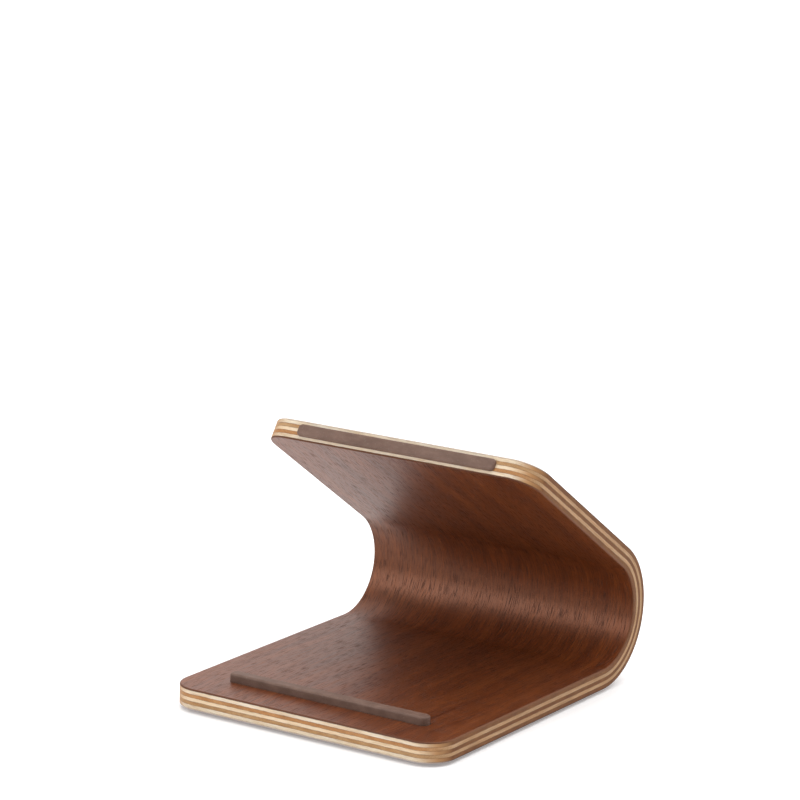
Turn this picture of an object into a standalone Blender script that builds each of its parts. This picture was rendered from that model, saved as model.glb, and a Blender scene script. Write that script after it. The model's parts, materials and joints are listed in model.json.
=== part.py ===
"""Tablet stand: one strip of moulded plywood that folds back over itself.

The strip is seven plies glued face to face. It lies flat as a base, turns through one round bend at
the rear and rises forward again as a sloping roof. A tablet stands on the base behind a low stop bar
and leans back on the roof's front end. Metres, +Z up, +X to the right and +Y to the rear; the origin
is on the surface under the middle of the stand.
"""

from math import cos, pi, radians, sin

import bmesh
import bpy
from mathutils import Matrix, Vector

# The strip: two thin face veneers over five core plies, with a glue line between neighbours.
CORE_PLIES = 5
FACE_VENEER = 0.0005
CORE_PLY = 0.00128
GLUE_LINE = 0.0001

STAND_WIDTH = 0.120
BASE_RUN = 0.1135            # flat base, from its front edge to the start of the bend
BEND_INNER_RADIUS = 0.0205
ROOF_PITCH = radians(34.5)   # slope of the roof above the horizontal
ROOF_RUN = 0.0830            # straight roof, from the end of the bend to its front end
CORNER_RADIUS = 0.011        # the four free corners of the strip, seen square to its face

# The stop bar's foot stands in a slot cut through the upper face veneer and the first core ply.
STOP_BAR_SETBACK = 0.0160    # from the base's front edge to the bar's front face
STOP_BAR_DEPTH = 0.0045
STOP_BAR_PROUD = 0.0033      # above the base's upper face
STOP_BAR_END_MARGIN = 0.0162
STOP_BAR_SHOULDER = 0.0002   # the foot's outline stands this far outside the bar's
STOP_BAR_FOOT_PROUD = 0.0001
SLOT_CLEARANCE = 0.0003

# The rest strip is glued along the roof's front end, where the tablet leans.
REST_STRIP_DEPTH = 0.005
REST_STRIP_PROUD = 0.0015
REST_STRIP_END_MARGIN = 0.0162

SOFT_END_RADIUS = 0.0016     # plan corners of both soft strips
SOFT_ARRIS = 0.0008          # rounding of their upper edges

# Four round feet under the base.
FOOT_RADIUS = 0.005
FOOT_HEIGHT = 0.0012
FOOT_ARRIS = 0.0004
FOOT_SIDE_INSET = 0.014
FOOT_FRONT_INSET = 0.014
FOOT_REAR_INSET = 0.007      # ahead of the start of the bend

GLUED_GAP = 0.0001           # between the plywood and the rest strip and the feet

BEND_STEP = radians(3.0)
CORNER_SEGMENTS = 12
SOFT_SEGMENTS = 3
FOOT_SIDES = 40

WALNUT = ("walnut", (0.150, 0.062, 0.030), 0.50)
CREAM_BIRCH = ("cream_birch", (0.700, 0.520, 0.330), 0.60)
TAN_BIRCH = ("tan_birch", (0.350, 0.180, 0.080), 0.65)
BROWN_SILICONE = ("brown_silicone", (0.120, 0.085, 0.065), 0.70)
DARK_RUBBER = ("dark_rubber", (0.020, 0.018, 0.017), 0.85)

STRIP_THICKNESS = 2 * FACE_VENEER + CORE_PLIES * CORE_PLY + (CORE_PLIES + 1) * GLUE_LINE
BEND_OUTER_RADIUS = BEND_INNER_RADIUS + STRIP_THICKNESS
STAND_DEPTH = BASE_RUN + BEND_OUTER_RADIUS

FRONT_Y = -STAND_DEPTH / 2
BEND_Y = FRONT_Y + BASE_RUN
BASE_UNDER_Z = FOOT_HEIGHT + GLUED_GAP
BASE_TOP_Z = BASE_UNDER_Z + STRIP_THICKNESS
BEND_Z = BASE_TOP_Z + BEND_INNER_RADIUS

BASE_ANGLE = -pi / 2                 # where the bend starts, seen from its centre
ROOF_ANGLE = pi / 2 - ROOF_PITCH     # where it ends
ROOF_OUTWARD = Vector((0.0, cos(ROOF_ANGLE), sin(ROOF_ANGLE)))
ROOF_FORWARD = Vector((0.0, -sin(ROOF_ANGLE), cos(ROOF_ANGLE)))


def clear_scene():
    for obj in list(bpy.data.objects):
        bpy.data.objects.remove(obj, do_unlink=True)


def material(spec):
    name, colour, roughness = spec
    if name in bpy.data.materials:
        return bpy.data.materials[name]
    made = bpy.data.materials.new(name)
    made.use_nodes = True
    shader = made.node_tree.nodes["Principled BSDF"]
    shader.inputs["Base Color"].default_value = (*colour, 1.0)
    shader.inputs["Roughness"].default_value = roughness
    shader.inputs["Metallic"].default_value = 0.0
    made.diffuse_color = (*colour, 1.0)
    return made


def add_object(name, bm, spec, parent):
    """Make a mesh object of bm, shaded smooth up to the sharp edges, under the parent."""
    bmesh.ops.recalc_face_normals(bm, faces=bm.faces)
    mesh = bpy.data.meshes.new(name)
    bm.to_mesh(mesh)
    bm.free()
    mesh.shade_smooth()
    mesh.set_sharp_from_angle(angle=radians(30.0))
    mesh.materials.append(material(spec))
    obj = bpy.data.objects.new(name, mesh)
    bpy.context.scene.collection.objects.link(obj)
    obj.parent = parent
    return obj


def bend_angles():
    """Angles of the bend's stations, with one exactly at its rearmost point."""
    lower_steps = round(-BASE_ANGLE / BEND_STEP)
    upper_steps = round(ROOF_ANGLE / BEND_STEP)
    lower = [BASE_ANGLE * (1 - step / lower_steps) for step in range(lower_steps)]
    upper = [ROOF_ANGLE * step / upper_steps for step in range(upper_steps + 1)]
    return lower + upper


def strip_line(offset):
    """The strip's side view, as a line at this distance outward from its inner face."""
    radius = BEND_INNER_RADIUS + offset
    line = [Vector((0.0, FRONT_Y, BASE_TOP_Z - offset))]
    for angle in bend_angles():
        line.append(Vector((0.0, BEND_Y + radius * cos(angle), BEND_Z + radius * sin(angle))))
    line.append(line[-1] + ROOF_FORWARD * ROOF_RUN)
    return line


def make_ply(name, inner_offset, outer_offset, spec, parent):
    """One ply: its side view as a row of quads, drawn across the width, with rounded corners."""
    bm = bmesh.new()
    across = Vector((STAND_WIDTH, 0.0, 0.0))
    to_left = across * -0.5
    inner = [bm.verts.new(point + to_left) for point in strip_line(inner_offset)]
    outer = [bm.verts.new(point + to_left) for point in strip_line(outer_offset)]
    for i in range(len(inner) - 1):
        bm.faces.new((inner[i], outer[i], outer[i + 1], inner[i + 1]))
    drawn = bmesh.ops.extrude_face_region(bm, geom=list(bm.faces))["geom"]
    bmesh.ops.translate(bm, verts=[v for v in drawn if isinstance(v, bmesh.types.BMVert)], vec=across)

    thickness = outer_offset - inner_offset
    ends = (strip_line(inner_offset)[0], strip_line(inner_offset)[-1])
    corners = []
    for edge in bm.edges:
        at_end = any(
            all((Vector((0.0, v.co.y, v.co.z)) - end).length < 1.01 * thickness for v in edge.verts)
            for end in ends
        )
        along_thickness = abs(edge.verts[0].co.x - edge.verts[1].co.x) < thickness
        if at_end and along_thickness:
            corners.append(edge)
    bmesh.ops.bevel(bm, geom=corners, offset=CORNER_RADIUS, segments=CORNER_SEGMENTS,
                    profile=0.5, affect="EDGES")
    return add_object(name, bm, spec, parent)


def make_plies(parent):
    """All plies from the inner face outwards. The core's grain turns from one ply to the next."""
    layers = [("inner_face_veneer", FACE_VENEER, WALNUT)]
    for number in range(1, CORE_PLIES + 1):
        spec = CREAM_BIRCH if number % 2 else TAN_BIRCH
        layers.append((f"core_ply_{number}", CORE_PLY, spec))
    layers.append(("outer_face_veneer", FACE_VENEER, WALNUT))

    plies = {}
    offset = 0.0
    for name, thickness, spec in layers:
        plies[name] = make_ply(name, offset, offset + thickness, spec, parent)
        offset += thickness + GLUE_LINE
    return plies


def rounded_block(length, depth, height, end_radius):
    """A block standing on z = 0, with rounded plan corners."""
    bm = bmesh.new()
    size = Matrix.Diagonal((length, depth, height, 1.0))
    bmesh.ops.create_cube(bm, size=1.0, matrix=Matrix.Translation((0.0, 0.0, height / 2)) @ size)
    upright = [e for e in bm.edges if abs(e.verts[0].co.z - e.verts[1].co.z) > height / 2]
    bmesh.ops.bevel(bm, geom=upright, offset=end_radius, segments=2 * SOFT_SEGMENTS,
                    profile=0.5, affect="EDGES")
    return bm


def round_rim(bm):
    """Round the edge round a block's upper face."""
    top = max(bm.faces, key=lambda face: face.calc_center_median().z)
    bmesh.ops.bevel(bm, geom=list(top.edges), offset=SOFT_ARRIS, segments=SOFT_SEGMENTS,
                    profile=0.5, affect="EDGES")


def slot_floor():
    """Height of the slot's floor, which is the inner face of the second core ply."""
    return BASE_TOP_Z - (FACE_VENEER + CORE_PLY + 2 * GLUE_LINE)


def make_stop_bar(parent):
    """The soft bar along the front of the base, on its slightly wider foot."""
    length = STAND_WIDTH - 2 * STOP_BAR_END_MARGIN + 2 * STOP_BAR_SHOULDER
    depth = STOP_BAR_DEPTH + 2 * STOP_BAR_SHOULDER
    bottom = slot_floor() + SLOT_CLEARANCE
    foot_height = BASE_TOP_Z + STOP_BAR_FOOT_PROUD - bottom
    bm = rounded_block(length, depth, foot_height, SOFT_END_RADIUS + STOP_BAR_SHOULDER)
    top = max(bm.faces, key=lambda face: face.calc_center_median().z)
    bmesh.ops.inset_individual(bm, faces=[top], thickness=STOP_BAR_SHOULDER)
    drawn = bmesh.ops.extrude_discrete_faces(bm, faces=[top])["faces"]
    rise = STOP_BAR_PROUD - STOP_BAR_FOOT_PROUD
    bmesh.ops.translate(bm, verts=drawn[0].verts, vec=(0.0, 0.0, rise))
    round_rim(bm)
    bar = add_object("stop_bar", bm, BROWN_SILICONE, parent)
    bar.location = (0.0, FRONT_Y + STOP_BAR_SETBACK + STOP_BAR_DEPTH / 2, bottom)
    return bar


def cut_stop_bar_slot(plies, bar, parent):
    """Cut the slot of the bar's foot, one clearance larger all round, through the two upper plies."""
    margin = STOP_BAR_SHOULDER + SLOT_CLEARANCE
    length = STAND_WIDTH - 2 * STOP_BAR_END_MARGIN + 2 * margin
    depth = STOP_BAR_DEPTH + 2 * margin
    floor = slot_floor() + GLUE_LINE / 2
    height = BASE_TOP_Z + STOP_BAR_PROUD - floor
    bm = rounded_block(length, depth, height, SOFT_END_RADIUS + margin)
    cutter = add_object("stop_bar_slot_cutter", bm, BROWN_SILICONE, parent)
    cutter.location = (0.0, bar.location.y, floor)
    cutter.hide_render = True
    cutter.display_type = "WIRE"
    for name in ("inner_face_veneer", "core_ply_1"):
        cut = plies[name].modifiers.new("stop_bar_slot", "BOOLEAN")
        cut.operation = "DIFFERENCE"
        cut.solver = "EXACT"
        cut.object = cutter


def make_rest_strip(parent):
    """The soft strip along the roof's front end, square to the roof's slope."""
    middle_of_end = (strip_line(0.0)[-1] + strip_line(STRIP_THICKNESS)[-1]) / 2
    length = STAND_WIDTH - 2 * REST_STRIP_END_MARGIN
    bm = rounded_block(length, REST_STRIP_DEPTH, REST_STRIP_PROUD, SOFT_END_RADIUS)
    round_rim(bm)
    strip = add_object("rest_strip", bm, BROWN_SILICONE, parent)
    strip.location = middle_of_end + ROOF_FORWARD * GLUED_GAP
    strip.rotation_euler = (ROOF_ANGLE, 0.0, 0.0)
    return strip


def make_foot(name, x, y, parent):
    """A round foot with a rounded lower edge, glued under the base."""
    bm = bmesh.new()
    bmesh.ops.create_cone(bm, cap_ends=True, segments=FOOT_SIDES, radius1=FOOT_RADIUS,
                          radius2=FOOT_RADIUS, depth=FOOT_HEIGHT)
    rim = [e for e in bm.edges if all(v.co.z < 0 for v in e.verts)]
    bmesh.ops.bevel(bm, geom=rim, offset=FOOT_ARRIS, segments=SOFT_SEGMENTS,
                    profile=0.5, affect="EDGES")
    foot = add_object(name, bm, DARK_RUBBER, parent)
    foot.location = (x, y, FOOT_HEIGHT / 2)
    return foot


def make_feet(parent):
    foot_x = STAND_WIDTH / 2 - FOOT_SIDE_INSET
    rows = (("front", FRONT_Y + FOOT_FRONT_INSET), ("rear", BEND_Y - FOOT_REAR_INSET))
    for row, y in rows:
        make_foot(f"foot_{row}_left", -foot_x, y, parent)
        make_foot(f"foot_{row}_right", foot_x, y, parent)


def main():
    clear_scene()
    stand = bpy.data.objects.new("tablet_stand", None)
    bpy.context.scene.collection.objects.link(stand)
    plies = make_plies(stand)
    bar = make_stop_bar(stand)
    cut_stop_bar_slot(plies, bar, stand)
    make_rest_strip(stand)
    make_feet(stand)


main()
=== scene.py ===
"""Looks of the moulded plywood tablet stand.

Each ply is built again as a smooth strip: drawn flat, with rounded corners and eased edges, and then
bent. Its points keep their flat coordinates (across, along, depth), so the wood grain is solid and
follows the bend. The stop bar, the rest strip and the feet are built again with soft edges.
"""

import json
from math import acos, cos, pi, radians, sin

import bmesh
import bpy
from mathutils import Matrix, Vector


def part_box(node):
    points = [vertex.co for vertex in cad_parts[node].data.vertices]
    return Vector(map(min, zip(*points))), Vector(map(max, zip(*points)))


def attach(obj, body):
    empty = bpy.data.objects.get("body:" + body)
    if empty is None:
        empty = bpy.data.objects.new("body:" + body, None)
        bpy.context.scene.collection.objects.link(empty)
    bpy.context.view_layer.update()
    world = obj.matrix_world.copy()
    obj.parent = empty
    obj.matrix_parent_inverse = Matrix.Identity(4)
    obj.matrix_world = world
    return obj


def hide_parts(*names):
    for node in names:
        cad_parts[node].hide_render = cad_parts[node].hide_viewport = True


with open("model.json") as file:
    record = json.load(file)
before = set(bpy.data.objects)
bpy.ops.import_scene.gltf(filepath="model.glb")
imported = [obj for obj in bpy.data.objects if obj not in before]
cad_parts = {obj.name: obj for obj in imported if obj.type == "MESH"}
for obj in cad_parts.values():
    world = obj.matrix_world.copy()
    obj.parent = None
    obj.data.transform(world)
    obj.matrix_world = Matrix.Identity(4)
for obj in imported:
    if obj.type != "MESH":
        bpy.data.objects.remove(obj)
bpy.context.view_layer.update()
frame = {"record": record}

MM = 0.001

# The strip.
PLY_NODES = ["inner_face_veneer", *(f"core_ply_{n}" for n in range(1, 6)), "outer_face_veneer"]
CORNER_RADIUS = 11.0 * MM
ARRIS_RADIUS = 0.6 * MM
HALF_GLUE_LINE = 0.05 * MM      # the CAD plies stop this far short of the middle of the glue
PLY_GAP = 0.02 * MM             # left between neighbouring plies here
SLOTTED_PLIES = 2               # how many plies the bar's slot runs through

# The soft pieces.
BAR_END_RADIUS = 2.2 * MM
BAR_ARRIS = 0.9 * MM
SLOT_GAP = 0.12 * MM            # beside the bar's foot, as it shows on the base
STRIP_END_RADIUS = 1.7 * MM
STRIP_ARRIS = 0.8 * MM
FOOT_ROUNDING = 0.5 * MM
FOOT_TOP_CHAMFER = 0.1 * MM
FOOT_SOLE_RINGS = (0.3, 0.8)    # shares of the foot's radius

# How the bar's top wanders, fading out towards the base. The phases only keep the waves apart.
BAR_WAVE = 0.10 * MM
SWAY_SHARE, SAG_SHARE = 0.25, 0.4
LONG_SWAY, SHORT_SWAY, SAG_LENGTH = 9.0 * MM, 4.1 * MM, 6.3 * MM
SHORT_SWAY_SHARE = 0.6
SHORT_SWAY_PHASE, SAG_PHASE = 1.3, 0.7

# How finely the meshes are divided.
CORNER_STEPS = 16
STRAIGHT_STEPS = 8
BEND_STEPS = 120
ARRIS_STEPS = 6
BAR_STEPS = 60
REST_STRIP_STEPS = 40
SLOT_STEPS = 4
TURN_STEPS = 64
SUPPORT = 0.3 * MM              # distance of the columns that keep a face's shading flat
MOST_SUPPORT = 0.25             # the same distance, as the largest share of the half width
COLUMNS = (-1.0, None, -0.5, 0.0, 0.5, None, 1.0)   # shares of the half width; None is a support
LEAST_LEVEL_STEP = 0.01 * MM
SHARP_ANGLE = radians(38.0)

# Linear colours. Three tones run from a surface's darkest fibres to its lightest.
WALNUT_RAMP = ((0.30, (0.040, 0.007, 0.001)), (0.46, (0.084, 0.018, 0.003)),
               (0.60, (0.130, 0.032, 0.006)), (0.78, (0.195, 0.060, 0.018)))
WALNUT_PORE = (0.018, 0.005, 0.002)
INNER_VENEER_EDGE = ((0.120, 0.054, 0.024), (0.050, 0.023, 0.014))      # at the sides, at the ends
# The outer veneer's edge has two tones. At the sides the dark veneer edge is darkened further with
# painted shadow from under the stand. At the ends a pale painted reflection of the white floor stands in
# for the grazing sheen.
OUTER_VENEER_EDGE_PAINTED_SHADOW_AND_REFLECTION = ((0.022, 0.010, 0.006), (0.55, 0.49, 0.42))
PALE_LONG_GRAIN = ((0.50, 0.370, 0.240), (0.69, 0.580, 0.450), (0.80, 0.710, 0.590))
PALE_END_GRAIN = ((0.090, 0.029, 0.005), (0.148, 0.053, 0.011), (0.225, 0.092, 0.025))
# A darker golden tone round the corners of the pale plies, partly slanted grain and partly painted shade.
PALE_SLANTED_PAINTED_SHADE = (0.43, 0.235, 0.105)
TAN_LONG_GRAIN = ((0.260, 0.145, 0.065), (0.385, 0.235, 0.122), (0.480, 0.312, 0.184))
TAN_END_GRAIN = ((0.240, 0.110, 0.040), (0.410, 0.210, 0.086), (0.540, 0.312, 0.145))
CORE_VESSEL = (0.10, 0.045, 0.02)
CORE_CAST = (0.95, 0.72, 0.45)
GLUE_LINE = (0.16, 0.075, 0.035)
BROWN_SILICONE = ((0.118, 0.064, 0.045), (0.145, 0.081, 0.058), (0.178, 0.103, 0.075))
DARK_RUBBER = ((0.014, 0.013, 0.012), (0.022, 0.020, 0.019), (0.034, 0.032, 0.030))
DUST = (0.42, 0.38, 0.33)
CORE_STOPS = (0.34, 0.50, 0.66)             # where a ramp has its three tones
SILICONE_STOPS = (0.35, 0.50, 0.65)

# Each core ply was cut from another sheet, so their front edges differ a little in colour.
PLY_TINTS = {1: (1.0, 1.0, 1.0), 2: (1.02, 0.97, 0.92), 3: (1.03, 0.98, 0.90),
             4: (0.98, 1.10, 1.22), 5: (0.98, 1.0, 1.0)}

# These move a ply's noise, so that no two plies have the same figure.
OUTER_VENEER_OFFSET = 7.3
CORE_OFFSET = 11.0

# The camera, from the photograph's viewpoint.
CAMERA_AZIMUTH = radians(33.88)
CAMERA_ELEVATION = radians(13.40)
CAMERA_ROLL = radians(1.03)
CAMERA_DISTANCE = 1372.0 * MM
CAMERA_AIM = Vector((5.1, -17.2, 116.8)) * MM
CAMERA_LENS = 168.9
CAMERA_CLIP = (0.01, 100.0)
SENSOR_WIDTH = 36.0

# The strength of the surroundings in front of the stand and behind it, and the range of the
# direction's Y over which one turns into the other.
WORLD_FRONT = 0.24
WORLD_BACK = 1.30
WORLD_TURN = (-0.4, 0.7)

# Far soft lights: name, direction towards the light, strength and angle in degrees.
SUNS = (("key", (-0.55, -0.68, 0.49), 1.35, 40.0),
        ("top", (0.10, 0.15, 1.0), 2.3, 70.0))

FLOOR_REACH = 8.0
FLOOR_DROP = 0.05 * MM          # the floor lies this far under the feet, so no faces coincide
FLOOR_GLOW = 0.25
WHITE = (1.0, 1.0, 1.0, 1.0)


# ---------------------------------------------------------------------------- the strip's shape

class Strip:
    """The bent strip's measures, worked out from the frame. Runs are along its middle."""

    def __init__(self, record):
        mounts = {m["name"]: m for m in record["mounts"]}
        outer_low, outer_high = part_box("outer_face_veneer")
        self.width = outer_high.x - outer_low.x
        self.front = outer_low.y
        self.top = mounts["tablet_ledge"]["pos_m"][2]
        self.thickness = self.top - outer_low.z

        # The bend's centre is one inner radius in front of and above the square inner corner that
        # the bend rounds off. The middle of the lean face is one middle radius out from that centre.
        self.forward = Vector(mounts["lean_face"]["axis"])
        self.outward = Vector((0.0, self.forward.z, -self.forward.y))
        lean = Vector(mounts["lean_face"]["pos_m"])
        rear_corner = Vector((0.0, outer_high.y - self.thickness, self.top))
        excess = (lean - rear_corner).dot(self.outward) - self.thickness / 2
        self.inner_radius = excess / (1 + self.outward.z - self.outward.y)
        self.middle_radius = self.inner_radius + self.thickness / 2
        self.bend_y = outer_high.y - self.thickness - self.inner_radius
        self.bend_z = self.top + self.inner_radius
        self.roof_angle = acos(self.outward.y)

        self.base_run = self.bend_y - self.front
        self.bend_run = (self.roof_angle + pi / 2) * self.middle_radius
        roof_start = self.bend_z + (self.inner_radius + self.thickness) * self.outward.z
        self.roof_run = (outer_high.z - roof_start) / self.forward.z
        self.length = self.base_run + self.bend_run + self.roof_run

    def point(self, across, along, depth):
        """The place of a flat point on the bent strip. Depth grows from the inner face outwards."""
        radius = self.inner_radius + depth
        if along <= self.base_run:
            return Vector((across, self.front + along, self.top - depth))
        turned = min((along - self.base_run) / self.middle_radius, self.roof_angle + pi / 2)
        angle = turned - pi / 2
        place = Vector((across, self.bend_y + radius * cos(angle), self.bend_z + radius * sin(angle)))
        past = along - self.base_run - self.bend_run
        return place + self.forward * max(past, 0.0)

    def ply_depths(self):
        """Depths of the faces of the plies, from the inner face outwards."""
        depths = [0.0]
        for node in PLY_NODES[:-1]:
            outer_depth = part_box(node)[1].y - self.bend_y - self.inner_radius
            depths.append(outer_depth + HALF_GLUE_LINE)
        depths.append(self.thickness)
        return depths

    def middle_rows(self):
        """Where the straight runs and the bend are divided, between the rounded corners."""
        base_end, bend_end = self.base_run, self.base_run + self.bend_run
        base = [CORNER_RADIUS + (base_end - CORNER_RADIUS) * i / STRAIGHT_STEPS
                for i in range(1, STRAIGHT_STEPS)]
        bend = [base_end + self.bend_run * i / BEND_STEPS for i in range(BEND_STEPS + 1)]
        roof_straight = self.length - CORNER_RADIUS - bend_end
        roof = [bend_end + roof_straight * i / STRAIGHT_STEPS for i in range(1, STRAIGHT_STEPS)]
        return base + bend + roof


# ---------------------------------------------------------------------------- rounded solids

def corner_rows(inset, corner_radius, half_width):
    """Rows (distance from the end, half width, how much the edge faces the end) round a corner."""
    radius = corner_radius - inset
    rows = []
    for step in range(CORNER_STEPS + 1):
        angle = pi / 2 * step / CORNER_STEPS
        rows.append((inset + radius * (1 - cos(angle)),
                     half_width - corner_radius + radius * sin(angle), cos(angle)))
    return rows


def outline_rows(length, half_width, corner_radius, inset, middle):
    """Rows of a rounded rectangle from end to end, with the given rows between its corners."""
    start = corner_rows(inset, corner_radius, half_width)
    rows = list(start)
    rows += [(along, half_width - inset, 0.0) for along in middle]
    rows += [(length - along, half, turn) for along, half, turn in reversed(start)]
    return rows


def arris_inset(distance, radius):
    """How far a rounded edge draws in at this distance from the face."""
    if distance >= radius:
        return 0.0
    return radius - (radius ** 2 - (radius - distance) ** 2) ** 0.5


def arris_levels(low, high, bottom, top, radius):
    """Levels between low and high, close together where the edges at bottom and top are rounded."""
    levels = {low, high}
    for step in range(ARRIS_STEPS + 1):
        rise = radius * (1 - cos(pi / 2 * step / ARRIS_STEPS))
        levels.update(level for level in (bottom + rise, top - rise) if low < level < high)
    kept = []
    for level in sorted(levels):
        if not kept or level - kept[-1] > LEAST_LEVEL_STEP or level == high:
            kept.append(level)
    return kept


def rounded_solid(name, levels, rows_at, place):
    """A closed solid from stacked outlines: rows_at(level) gives its rows, place(u, v, level) a point.

    Every corner of a face keeps its flat coordinates (across, along, level) and how much it faces
    an end, for the grain.
    """
    row_count = len(rows_at(levels[0]))
    last_row, last_column = row_count - 1, len(COLUMNS) - 1
    rim = [(row, 0) for row in range(last_row)]
    rim += [(last_row, column) for column in range(last_column)]
    rim += [(row, last_column) for row in range(last_row, 0, -1)]
    rim += [(0, column) for column in range(last_column, 0, -1)]

    bm = bmesh.new()
    flat = bm.loops.layers.float_vector.new("flat")
    turned = bm.loops.layers.float.new("turned")
    notes = {}
    grids = []
    for level in levels:
        rows = rows_at(level)
        is_cap = level in (levels[0], levels[-1])
        spots = [(r, c) for r in range(row_count) for c in range(len(COLUMNS))] if is_cap else rim
        grid = {}
        for row, column in spots:
            along, half, turn = rows[row]
            share = COLUMNS[column]
            if share is None:
                inner = 1 - min(SUPPORT / half, MOST_SUPPORT)
                share = inner if column > last_column / 2 else -inner
            vert = bm.verts.new(place(share * half, along, level))
            notes[vert] = (Vector((share * half, along, level)), turn)
            grid[row, column] = vert
        grids.append(grid)

    for lower, upper in zip(grids, grids[1:]):
        for here, there in zip(rim, rim[1:] + rim[:1]):
            bm.faces.new((lower[here], lower[there], upper[there], upper[here]))
    for grid in (grids[0], grids[-1]):
        for row in range(last_row):
            for column in range(last_column):
                bm.faces.new((grid[row, column], grid[row + 1, column],
                              grid[row + 1, column + 1], grid[row, column + 1]))
    for face in bm.faces:
        for loop in face.loops:
            loop[flat], loop[turned] = notes[loop.vert]
    return mesh_object(name, bm)


def block_solid(name, length, depth, low, high, end_radius, arris, place, steps, more_levels=()):
    """A long block from low to high with round ends, eased along its upper edge only."""
    no_lower_arris = low - 2 * arris
    levels = arris_levels(low, high, no_lower_arris, high, arris)
    levels = sorted({*levels, *more_levels})
    middle = [end_radius + (length - 2 * end_radius) * i / steps for i in range(1, steps)]

    def rows_at(level):
        return outline_rows(length, depth / 2, end_radius, arris_inset(high - level, arris), middle)

    return rounded_solid(name, levels, rows_at, place)


def turned_solid(name, profile, base):
    """A closed solid turned round the vertical line through the given point.

    The profile's (radius, height) points start and end on that line.
    """
    bm = bmesh.new()
    spokes = [Vector((cos(2 * pi * i / TURN_STEPS), sin(2 * pi * i / TURN_STEPS), 0.0))
              for i in range(TURN_STEPS)]
    rings = [[bm.verts.new(base + spoke * radius + Vector((0.0, 0.0, height))) for spoke in spokes]
             for radius, height in profile[1:-1]]
    poles = [bm.verts.new(base + Vector((0.0, 0.0, height))) for _, height in (profile[0], profile[-1])]

    for here in range(TURN_STEPS):
        there = (here + 1) % TURN_STEPS
        for lower, upper in zip(rings, rings[1:]):
            bm.faces.new((lower[here], lower[there], upper[there], upper[here]))
        for pole, ring in zip(poles, (rings[0], rings[-1])):
            bm.faces.new((pole, ring[here], ring[there]))
    return mesh_object(name, bm)


def mesh_object(name, bm):
    """An object of this mesh, shaded smooth between its sharp edges."""
    bmesh.ops.recalc_face_normals(bm, faces=bm.faces)
    mesh = bpy.data.meshes.new(name)
    bm.to_mesh(mesh)
    bm.free()
    mesh.shade_smooth()
    mesh.set_sharp_from_angle(angle=SHARP_ANGLE)
    piece = bpy.data.objects.new(name, mesh)
    bpy.context.scene.collection.objects.link(piece)
    return piece


def cut_away(piece, cutter):
    """Take the cutter's shape out of the piece and remove the cutter."""
    cut = piece.modifiers.new("cut", "BOOLEAN")
    cut.operation = "DIFFERENCE"
    cut.solver = "EXACT"
    cut.object = cutter
    evaluated = piece.evaluated_get(bpy.context.evaluated_depsgraph_get())
    mesh = bpy.data.meshes.new_from_object(evaluated)
    piece.modifiers.clear()
    mesh.set_sharp_from_angle(angle=SHARP_ANGLE)
    piece.data = mesh
    bpy.data.objects.remove(cutter)


def show(piece, node, material):
    """Let the piece stand for its CAD node."""
    piece.data.materials.clear()
    piece.data.materials.append(material)
    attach(piece, "root")
    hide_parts(node)


# ---------------------------------------------------------------------------- pieces

def make_ply(strip, node, inner_depth, outer_depth):
    """One ply of the strip, with its share of the strip's eased edges."""
    middle = strip.middle_rows()
    levels = arris_levels(inner_depth, outer_depth, 0.0, strip.thickness, ARRIS_RADIUS)

    def rows_at(depth):
        inset = arris_inset(min(depth, strip.thickness - depth), ARRIS_RADIUS)
        return outline_rows(strip.length, strip.width / 2, CORNER_RADIUS, inset, middle)

    return rounded_solid(node + "_shaped", levels, rows_at, strip.point)


def make_slot_cutter(floor):
    """The slot that the bar's foot stands in, from its floor upwards."""
    low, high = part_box("stop_bar")
    centre = (low + high) / 2
    length = high.x - low.x + 2 * SLOT_GAP
    depth = high.y - low.y + 2 * SLOT_GAP

    def place(across, along, level):
        return Vector((centre.x - length / 2 + along, centre.y + across, level))

    return block_solid("slot_cutter", length, depth, floor, high.z, BAR_END_RADIUS, 0.0, place,
                       SLOT_STEPS)


def make_stop_bar(strip):
    """The soft stop bar, whose edges wander a little, as a moulded silicone strip's do."""
    low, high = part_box("stop_bar")
    centre = (low + high) / 2
    length, depth = high.x - low.x, high.y - low.y

    def place(across, along, level):
        above = max(level - strip.top, 0.0) / (high.z - strip.top)
        wave = sin(along / LONG_SWAY) + SHORT_SWAY_SHARE * sin(along / SHORT_SWAY + SHORT_SWAY_PHASE)
        sway = SWAY_SHARE * BAR_WAVE * wave * above
        sag = SAG_SHARE * BAR_WAVE * (sin(along / SAG_LENGTH + SAG_PHASE) - 1.0) * above
        return Vector((centre.x + along - length / 2, centre.y + across + sway, level + sag))

    return block_solid("stop_bar_shaped", length, depth, low.z, high.z, BAR_END_RADIUS, BAR_ARRIS,
                       place, BAR_STEPS, [strip.top])


def make_rest_strip(strip):
    """The soft strip on the roof's front end."""
    low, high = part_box("rest_strip")
    length = high.x - low.x

    # It is tilted with the roof. Its box is proud * up + width * ahead tall, and
    # proud * ahead + width * up deep.
    tall, deep = high.z - low.z, high.y - low.y
    up, ahead = strip.forward.z, -strip.forward.y
    proud = (tall * up - deep * ahead) / (up ** 2 - ahead ** 2)
    width = (tall * ahead - deep * up) / (ahead ** 2 - up ** 2)
    end = strip.point(0.0, strip.length, strip.thickness / 2)
    middle = Vector((0.0, (low.y + high.y) / 2, (low.z + high.z) / 2))
    start = (middle - end).dot(strip.forward) - proud / 2

    def place(across, along, level):
        return (end + strip.outward * across + strip.forward * (start + level)
                + Vector((along - length / 2, 0.0, 0.0)))

    return block_solid("rest_strip_shaped", length, width, 0.0, proud, STRIP_END_RADIUS,
                       STRIP_ARRIS, place, REST_STRIP_STEPS)


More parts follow.
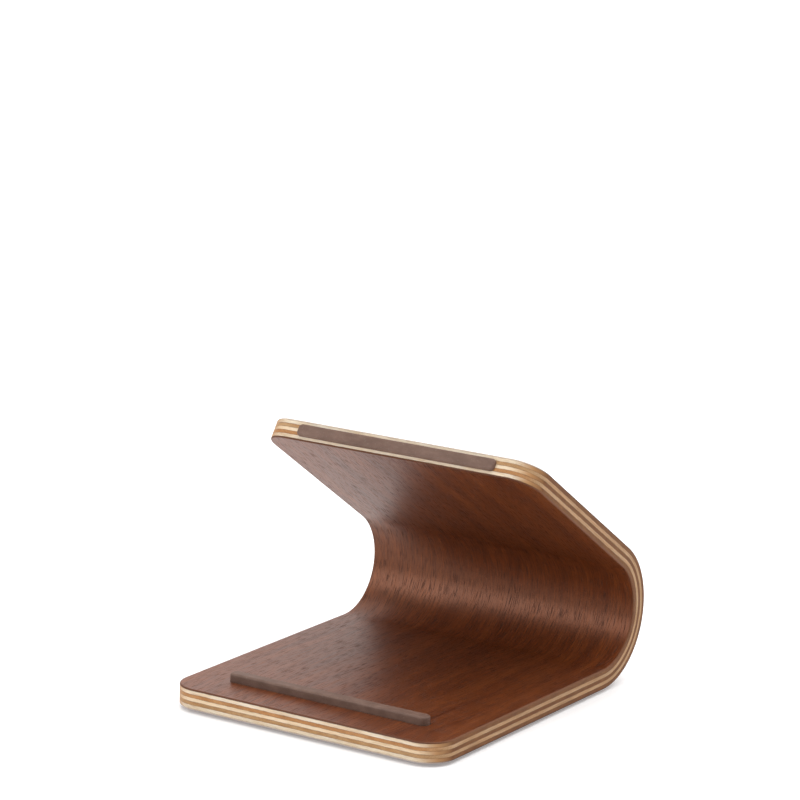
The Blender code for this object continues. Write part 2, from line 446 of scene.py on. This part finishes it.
def make_foot(node):
    """A round foot: a turned profile with a flat sole and a rounded lower edge."""
    low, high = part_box(node)
    centre = (low + high) / 2
    radius, height = (high.x - low.x) / 2, high.z - low.z
    profile = [(0.0, 0.0), *((share * radius, 0.0) for share in FOOT_SOLE_RINGS)]
    for step in range(ARRIS_STEPS + 1):
        angle = pi / 2 * step / ARRIS_STEPS
        profile.append((radius - FOOT_ROUNDING * (1 - sin(angle)), FOOT_ROUNDING * (1 - cos(angle))))
    profile += [(radius, height - FOOT_TOP_CHAMFER), (radius - FOOT_TOP_CHAMFER, height), (0.0, height)]

    return turned_solid(node + "_shaped", profile, Vector((centre.x, centre.y, low.z)))


# ---------------------------------------------------------------------------- materials

class Shading:
    """Short calls for building one material's nodes."""

    def __init__(self, name):
        self.material = bpy.data.materials.new(name)
        self.material.use_nodes = True
        self.tree = self.material.node_tree
        self.shader = self.tree.nodes["Principled BSDF"]

    def set(self, socket, value):
        """Link the socket if the value is another socket, and otherwise give it the value."""
        if isinstance(value, bpy.types.NodeSocket):
            self.tree.links.new(value, socket)
        else:
            socket.default_value = value

    def node(self, kind, inputs=None, **settings):
        made = self.tree.nodes.new(kind)
        for key, value in settings.items():
            setattr(made, key, value)
        for key, value in (inputs or {}).items():
            self.set(made.inputs[key], value)
        return made

    def math(self, operation, a, b=0.0):
        return self.node("ShaderNodeMath", {0: a, 1: b}, operation=operation).outputs[0]

    def scaled_sum(self, a, share, b):
        """a * share + b"""
        made = self.node("ShaderNodeMath", {0: a, 1: share, 2: b}, operation="MULTIPLY_ADD")
        return made.outputs[0]

    def weighted(self, a, a_share, b, b_share):
        """a * a_share + b * b_share"""
        return self.scaled_sum(a, a_share, self.math("MULTIPLY", b, b_share))

    def flat_place(self):
        """The flat coordinates (across, along, depth) of a ply's points."""
        return self.split(self.node("ShaderNodeAttribute", attribute_name="flat").outputs["Vector"])

    def turned(self):
        """How much a ply's edge faces an end: 0 along the sides, 1 along the ends."""
        return self.node("ShaderNodeAttribute", attribute_name="turned").outputs["Fac"]

    def position(self):
        return self.node("ShaderNodeNewGeometry").outputs["Position"]

    def split(self, vector):
        made = self.node("ShaderNodeSeparateXYZ", {0: vector})
        return made.outputs[0], made.outputs[1], made.outputs[2]

    def join(self, x, y, z):
        return self.node("ShaderNodeCombineXYZ", {0: x, 1: y, 2: z}).outputs[0]

    def noise(self, axes, sizes, detail, roughness, offset=0.0):
        """Noise whose spots are sizes (in mm) long along the given axes."""
        scaled = [self.scaled_sum(axis, 1.0 / (size * MM), offset) for axis, size in zip(axes, sizes)]
        inputs = {"Vector": self.join(*scaled), "Scale": 1.0, "Detail": detail, "Roughness": roughness}
        return self.node("ShaderNodeTexNoise", inputs, noise_dimensions="3D").outputs[0]

    def ramp(self, value, *stops):
        """A colour ramp from (position, linear colour) stops."""
        made = self.node("ShaderNodeValToRGB", {0: value})
        elements = made.color_ramp.elements
        while len(elements) < len(stops):
            elements.new(0.5)
        for element, (position, colour) in zip(elements, stops):
            element.position = position
            element.color = (*colour, 1.0)
        return made.outputs[0]

    def fit(self, value, low, high, to_low=0.0, to_high=1.0):
        """The value, with the range low to high mapped to to_low to to_high and clamped there."""
        made = self.node("ShaderNodeMapRange", {0: value, 1: low, 2: high, 3: to_low, 4: to_high})
        return made.outputs[0]

    def mix(self, factor, a, b, blend="MIX"):
        made = self.node("ShaderNodeMix", data_type="RGBA", blend_type=blend)
        self.set(made.inputs[0], factor)
        for socket, value in ((made.inputs[6], a), (made.inputs[7], b)):
            self.set(socket, (*value, 1.0) if isinstance(value, tuple) else value)
        return made.outputs[2]

    def bump(self, height, distance, strength):
        inputs = {"Strength": strength, "Distance": distance, "Height": height}
        return self.node("ShaderNodeBump", inputs).outputs[0]

    def finish(self, **inputs):
        """Set the shader's sockets, named with _ for a space, and give the material."""
        for key, value in inputs.items():
            self.set(self.shader.inputs[key.replace("_", " ")], value)
        return self.material


def walnut_material(face_depth, edge_tones):
    """Oiled walnut veneer: long wandering figure, fine streaks and short dark pores along the strip."""
    is_inner = face_depth == 0.0
    s = Shading("walnut_inner" if is_inner else "walnut_outer")
    offset = 0.0 if is_inner else OUTER_VENEER_OFFSET
    across, along, depth = s.flat_place()
    drift = s.noise((across, along, depth), (22, 90, 9), detail=1.0, roughness=0.5, offset=offset)
    axes = (s.scaled_sum(drift, 9 * MM, across), along, depth)

    figure = s.noise(axes, (7, 160, 5), detail=4.0, roughness=0.6, offset=offset)
    streaks = s.noise(axes, (0.75, 26, 2), detail=3.0, roughness=0.6, offset=3.1)
    hair = s.noise(axes, (0.22, 7, 0.6), detail=2.0, roughness=0.5, offset=5.7)
    pores = s.noise(axes, (0.31, 6.0, 0.5), detail=1.5, roughness=0.4, offset=8.9)
    crowding = s.fit(figure, 0.30, 0.65, 1.0, 0.55)
    pore = s.math("MULTIPLY", s.fit(pores, 0.57, 0.65), crowding)

    colour = s.ramp(s.weighted(streaks, 0.42, figure, 0.62), *WALNUT_RAMP)
    hair_shade = s.fit(hair, 0.35, 0.65, 0.62, 1.30)
    colour = s.mix(1.0, colour, s.join(hair_shade, hair_shade, hair_shade), "MULTIPLY")
    colour = s.mix(s.math("MULTIPLY", pore, 0.85), colour, WALNUT_PORE)

    # The veneer's edge is duller than its face, and its ends differ from its sides. On the outer veneer
    # the dark sides are partly its own dark edge and partly painted shadow from under the stand. Its pale
    # ends are a painted reflection of the white floor.
    from_face = s.math("ABSOLUTE", s.math("SUBTRACT", depth, face_depth))
    edge = s.fit(from_face, 0.01 * MM, 0.05 * MM)
    side_tone, end_tone = edge_tones
    edge_colour = s.mix(s.turned(), side_tone, end_tone)
    colour = s.mix(s.math("MULTIPLY", edge, 0.85), colour, edge_colour)

    relief = s.math("SUBTRACT", s.math("MULTIPLY", hair, 0.5), pore)
    dry = s.math("MULTIPLY", s.math("MAXIMUM", pore, edge), 0.3)
    roughness = s.math("ADD", s.fit(streaks, 0.3, 0.7, 0.38, 0.46), dry)
    return s.finish(Base_Color=colour, Roughness=roughness, Normal=s.bump(relief, 0.05 * MM, 0.9),
                    Specular_IOR_Level=1.0, Specular_Tint=(1.0, 0.45, 0.28, 1.0),
                    Coat_Weight=0.10, Coat_Roughness=0.40)


def tinted(tones, tint):
    return tuple(tuple(channel * share for channel, share in zip(tone, tint)) for tone in tones)


def pale_edge_colours(s, number, faces_end, long_value, end_value):
    """A pale ply's long grain and end grain, and where its edge shows the end grain."""
    long_colour = s.ramp(long_value, *zip(CORE_STOPS, tinted(PALE_LONG_GRAIN, PLY_TINTS[number])))
    end_colour = s.ramp(end_value, *zip(CORE_STOPS, PALE_END_GRAIN))
    # Round the corners the edge turns a darker gold before it shows its end grain. This is partly the
    # grain cut at a slant and partly painted shade, where the edge turns away from the light at the front
    # left.
    slant_painted_shade = s.math("POWER", s.fit(faces_end, 0.60, 1.0), 2.0)
    return s.mix(slant_painted_shade, PALE_SLANTED_PAINTED_SHADE, long_colour), end_colour, s.fit(faces_end, 0.10, 0.70, 1.0, 0.0)


def tan_edge_colours(s, number, faces_end, long_value, end_value):
    """A tan ply's long grain and end grain, and where its edge shows the end grain."""
    long_colour = s.ramp(long_value, *zip(CORE_STOPS, TAN_LONG_GRAIN))
    end_colour = s.ramp(end_value, *zip(CORE_STOPS, tinted(TAN_END_GRAIN, PLY_TINTS[number])))
    return long_colour, end_colour, s.fit(faces_end, 0.40, 0.96)


def core_material(number, inner_depth, outer_depth):
    """A core ply. The pale plies' grain runs across the stand and the tan plies' runs along the strip."""
    is_pale = number % 2 == 1
    s = Shading(f"cream_ply_{number}" if is_pale else f"tan_ply_{number}")
    offset = CORE_OFFSET * number
    across, along, depth = s.flat_place()
    axes = (across, along, depth) if is_pale else (along, across, depth)
    even_axes = (along, across, depth)

    band = s.noise(axes, (14, 5, 1.6), detail=3.0, roughness=0.6, offset=offset)
    fibre = s.noise(axes, (4.5, 0.35, 0.16), detail=3.0, roughness=0.6, offset=offset + 2.0)
    grain = s.noise(axes, (2.0, 0.22, 0.22), detail=2.0, roughness=0.6, offset=offset + 4.0)
    vessels = s.fit(grain, 0.56, 0.70)

    edge_colours = pale_edge_colours if is_pale else tan_edge_colours
    long_colour, end_colour, shows_end = edge_colours(
        s, number, s.turned(), s.weighted(fibre, 0.55, band, 0.45), s.weighted(grain, 0.60, band, 0.40))
    end_colour = s.mix(s.math("MULTIPLY", vessels, 0.45), end_colour, CORE_VESSEL)
    colour = s.mix(shows_end, long_colour, end_colour)
    cast = s.noise(even_axes, (9, 9, 4), detail=2.0, roughness=0.5, offset=offset + 6.0)
    colour = s.mix(s.fit(cast, 0.35, 0.65, 0.0, 0.35), colour, CORE_CAST, "MULTIPLY")

    # The glue lines are a little darker.
    middle = (inner_depth + outer_depth) / 2
    half = (outer_depth - inner_depth) / 2
    waver = s.noise(even_axes, (3.0, 3.0, 9), detail=3.0, roughness=0.6, offset=offset)
    wavered = s.scaled_sum(s.math("SUBTRACT", waver, 0.5), 0.7 * MM, depth)
    from_middle = s.math("ABSOLUTE", s.math("SUBTRACT", wavered, middle))
    glue = s.fit(from_middle, half - 0.16 * MM, half - 0.02 * MM, 0.0, 0.55)
    colour = s.mix(glue, colour, GLUE_LINE)

    relief = s.math("ADD", s.math("MULTIPLY", fibre, 0.5), s.math("MULTIPLY", vessels, -0.6))
    roughness = s.fit(grain, 0.3, 0.7, 0.50, 0.66)
    return s.finish(Base_Color=colour, Roughness=roughness, Normal=s.bump(relief, 0.03 * MM, 0.6),
                    Specular_IOR_Level=0.25)


def silicone_material(name, tones, roughness):
    """Matte moulded silicone or rubber: faint clouding, a fine skin and specks of dust."""
    s = Shading(name)
    axes = s.split(s.position())
    cloud = s.noise(axes, (6, 3, 3), detail=3.0, roughness=0.6)
    skin = s.noise(axes, (0.25, 0.25, 0.25), detail=3.0, roughness=0.6, offset=4.0)
    speck = s.fit(s.noise(axes, (0.7, 0.7, 0.7), detail=2.0, roughness=0.5, offset=9.0), 0.62, 0.75)
    colour = s.ramp(s.weighted(skin, 0.3, cloud, 0.7), *zip(SILICONE_STOPS, tones))
    colour = s.mix(s.math("MULTIPLY", speck, 0.12), colour, DUST)
    relief = s.math("ADD", s.math("MULTIPLY", skin, 0.5), s.math("MULTIPLY", cloud, 1.5))
    rough = s.fit(skin, 0.3, 0.7, roughness - 0.05, roughness + 0.05)
    return s.finish(Base_Color=colour, Roughness=rough, Normal=s.bump(relief, 0.04 * MM, 0.5),
                    Specular_IOR_Level=0.4)


def floor_material():
    """A plain pale surface with a barely visible unevenness."""
    s = Shading("pale_floor")
    inputs = {"Vector": s.position(), "Scale": 3.0, "Detail": 2.0}
    cloud = s.node("ShaderNodeTexNoise", inputs).outputs[0]
    colour = s.ramp(cloud, (0.3, (0.80, 0.80, 0.80)), (0.7, (0.83, 0.83, 0.83)))
    return s.finish(Base_Color=colour, Roughness=0.85, Specular_IOR_Level=0.2,
                    Emission_Color=WHITE, Emission_Strength=FLOOR_GLOW)


# ---------------------------------------------------------------------------- studio

def add_camera():
    """The camera of the photograph: a long lens to the front right, a little above."""
    back = Vector((sin(CAMERA_AZIMUTH) * cos(CAMERA_ELEVATION),
                   -cos(CAMERA_AZIMUTH) * cos(CAMERA_ELEVATION), sin(CAMERA_ELEVATION)))
    data = bpy.data.cameras.new("camera")
    data.lens = CAMERA_LENS
    data.sensor_width = SENSOR_WIDTH
    data.clip_start, data.clip_end = CAMERA_CLIP
    camera = bpy.data.objects.new("camera", data)
    camera.matrix_world = (Matrix.Translation(CAMERA_AIM + back * CAMERA_DISTANCE)
                           @ (-back).to_track_quat("-Z", "Y").to_matrix().to_4x4()
                           @ Matrix.Rotation(CAMERA_ROLL, 4, "Z"))
    bpy.context.scene.collection.objects.link(camera)
    bpy.context.scene.camera = camera


def add_floor():
    bm = bmesh.new()
    bmesh.ops.create_grid(bm, x_segments=1, y_segments=1, size=FLOOR_REACH)
    bmesh.ops.translate(bm, verts=bm.verts, vec=(0.0, 0.0, -FLOOR_DROP))
    floor = mesh_object("floor", bm)
    floor.data.materials.append(floor_material())


def add_sun(name, towards, strength, angle):
    """A far soft light, the same all over the floor."""
    data = bpy.data.lights.new(name, "SUN")
    data.energy = strength
    data.angle = radians(angle)
    light = bpy.data.objects.new(name, data)
    light.rotation_euler = Vector(towards).to_track_quat("Z", "Y").to_euler()
    bpy.context.scene.collection.objects.link(light)


def add_studio():
    """White surroundings, brighter behind, a soft key light at the front left and one overhead."""
    world = bpy.data.worlds.new("studio")
    world.use_nodes = True
    nodes, links = world.node_tree.nodes, world.node_tree.links
    towards = nodes.new("ShaderNodeSeparateXYZ")
    links.new(nodes.new("ShaderNodeTexCoord").outputs["Generated"], towards.inputs[0])
    shade = nodes.new("ShaderNodeMapRange")
    links.new(towards.outputs["Y"], shade.inputs["Value"])
    for socket, value in zip(shade.inputs[1:5], (*WORLD_TURN, WORLD_FRONT, WORLD_BACK)):
        socket.default_value = value
    links.new(shade.outputs[0], nodes["Background"].inputs["Strength"])
    nodes["Background"].inputs["Color"].default_value = WHITE
    bpy.context.scene.world = world
    bpy.context.scene.view_settings.view_transform = "Standard"
    for sun in SUNS:
        add_sun(*sun)


# ---------------------------------------------------------------------------- the stand

def show_plies(strip):
    """The two veneers and the five core plies, with the bar's slot cut into the upper ones."""
    depths = strip.ply_depths()
    last = len(PLY_NODES) - 1
    for number, node in enumerate(PLY_NODES):
        inner, outer = depths[number], depths[number + 1] - (PLY_GAP if number < last else 0.0)
        ply = make_ply(strip, node, inner, outer)
        if number < SLOTTED_PLIES:
            cut_away(ply, make_slot_cutter(strip.top - depths[SLOTTED_PLIES]))
        if number == 0:
            show(ply, node, walnut_material(inner, INNER_VENEER_EDGE))
        elif number == last:
            show(ply, node, walnut_material(outer, OUTER_VENEER_EDGE_PAINTED_SHADOW_AND_REFLECTION))
        else:
            show(ply, node, core_material(number, inner, outer))


def show_soft_pieces(strip):
    """The stop bar, the rest strip and the feet."""
    silicone = silicone_material("brown_silicone_skin", BROWN_SILICONE, 0.62)
    rubber = silicone_material("dark_rubber_skin", DARK_RUBBER, 0.75)
    show(make_stop_bar(strip), "stop_bar", silicone)
    show(make_rest_strip(strip), "rest_strip", silicone)
    for node in ("foot_front_left", "foot_front_right", "foot_rear_left", "foot_rear_right"):
        show(make_foot(node), node, rubber)


def main():
    add_camera()
    strip = Strip(frame["record"])
    show_plies(strip)
    show_soft_pieces(strip)
    add_floor()
    add_studio()


main()
